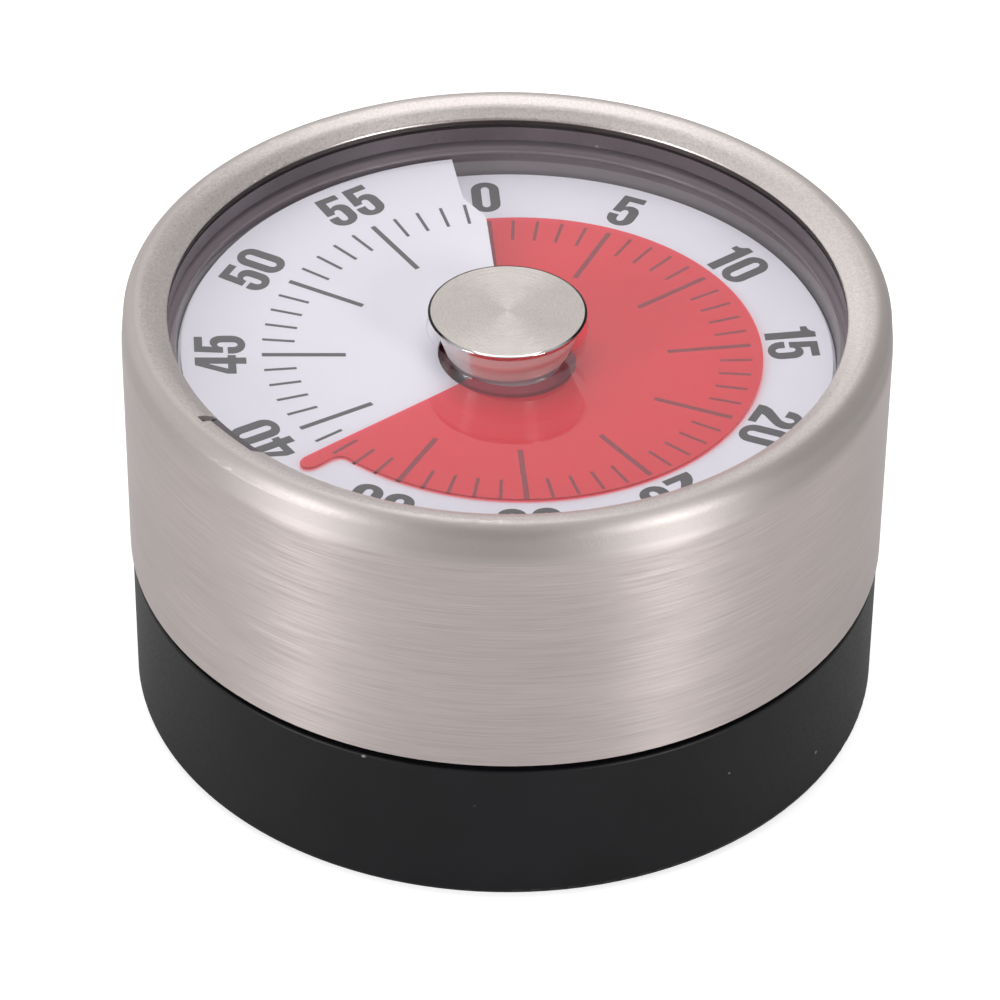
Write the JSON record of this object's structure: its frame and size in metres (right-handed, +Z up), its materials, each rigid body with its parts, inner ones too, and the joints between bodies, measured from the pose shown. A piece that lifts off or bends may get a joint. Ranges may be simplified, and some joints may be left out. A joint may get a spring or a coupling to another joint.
{
  "type": "visual countdown timer",
  "caption": "Round mechanical countdown timer: brushed drum on a dark base, ramp dial under a clear lens, red film wound by a central knob.",
  "frame": {"origin": "centre of the foot ring's underside, on the timer's axis", "axes": "+Z up along the knob's axis; the 0 mark is about 5 degrees from +Y towards -X"},
  "size_m": [0.078, 0.078, 0.0466],
  "materials": {
    "brushed_drum": "brushed round the drum, satin rim",
    "knob_brushed": "circular brushed top, polished skirt",
    "hub_polished": "polished",
    "base_black": "fine matte moulding",
    "well_black": "smooth dark moulding",
    "foot_rubber": "matte",
    "magnet_nickel": "nickel plated",
    "lens_clear": "clear, glossy",
    "dial_white": "smooth white",
    "film_red": "translucent red film",
    "movement_steel": "plain steel",
    "movement_brass": "stamped brass",
    "bell_steel": "plated bell"
  },
  "bodies": {
    "case": {"steel_shell": "brushed_drum", "base_housing": "base_black", "foot_ring": "foot_rubber", "base_magnet": "magnet_nickel", "case_screws": "movement_steel", "dial_well": "well_black", "lens": "lens_clear", "lens_ring": "well_black", "ramp_ring": "dial_white", "dial_plate": "dial_white", "upper_plate": "movement_brass", "lower_plate": "movement_brass", "frame_pillars": "movement_brass", "pillar_nuts": "movement_steel", "frame_screws": "movement_steel", "mainspring": "movement_steel", "spring_post": "movement_steel", "bell": "bell_steel", "bell_screw": "movement_steel", "hammer_post": "movement_steel"},
    "knob": {"setting_knob": "knob_brushed", "main_arbor": "movement_steel", "main_wheel": "movement_brass", "ratchet_wheel": "movement_steel", "click": "movement_steel", "click_spring": "movement_steel", "strike_cam": "movement_brass"},
    "film": {"film_disc": "film_red", "film_hub": "hub_polished"},
    "second": {"second_wheel": "movement_brass", "second_pinion": "movement_steel"},
    "third": {"third_wheel": "movement_brass", "third_pinion": "movement_steel"},
    "escape": {"escape_wheel": "movement_brass", "escape_pinion": "movement_steel"},
    "pallet": {"pallet_lever": "movement_brass", "pallet_pins": "movement_steel", "pallet_arbor": "movement_steel", "pallet_bob": "movement_brass"},
    "hammer": {"hammer_arm": "movement_steel", "hammer_head": "movement_brass"}
  },
  "joints": [
    {"name": "knob_turn", "type": "hinge", "parent": "case", "child": "knob", "pos_m": [0, 0, 0.0448], "axis": [0, 0, 1], "range_deg": [-130, 230]},
    {"name": "film_lift", "type": "slide", "parent": "knob", "child": "film", "axis": [0, 0, 1], "range_m": [-0.00147, 0.00083]},
    {"name": "second_turn", "type": "hinge", "parent": "case", "child": "second", "pos_m": [0.008, -0.01386, 0.026], "axis": [0, 0, 1], "range_deg": [-1611, 911]},
    {"name": "third_turn", "type": "hinge", "parent": "case", "child": "third", "pos_m": [0.01603, -0.00239, 0.026], "axis": [0, 0, 1], "range_deg": [-5461, 9661]},
    {"name": "escape_turn", "type": "hinge", "parent": "case", "child": "escape", "pos_m": [0.01507, 0.00859, 0.026], "axis": [0, 0, 1], "range_deg": [-57961, 32761]},
    {"name": "pallet_rock", "type": "hinge", "parent": "case", "child": "pallet", "pos_m": [0.01714, 0.01632, 0.026], "axis": [0, 0, 1], "range_deg": [-2.5, 2.5]},
    {"name": "hammer_swing", "type": "hinge", "parent": "case", "child": "hammer", "pos_m": [-0.011, 0.0054, 0.017], "axis": [0, 0, 1], "range_deg": [0, 8], "stiffness_Nm_per_rad": 0.004, "springref_deg": -5.73}
  ],
  "couplings": [
    {"joint": "film_lift", "follows": "knob_turn", "m_per_rad": -0.00036606},
    {"joint": "second_turn", "follows": "knob_turn", "ratio": -7},
    {"joint": "third_turn", "follows": "knob_turn", "ratio": 42},
    {"joint": "escape_turn", "follows": "knob_turn", "ratio": -252}
  ]
}
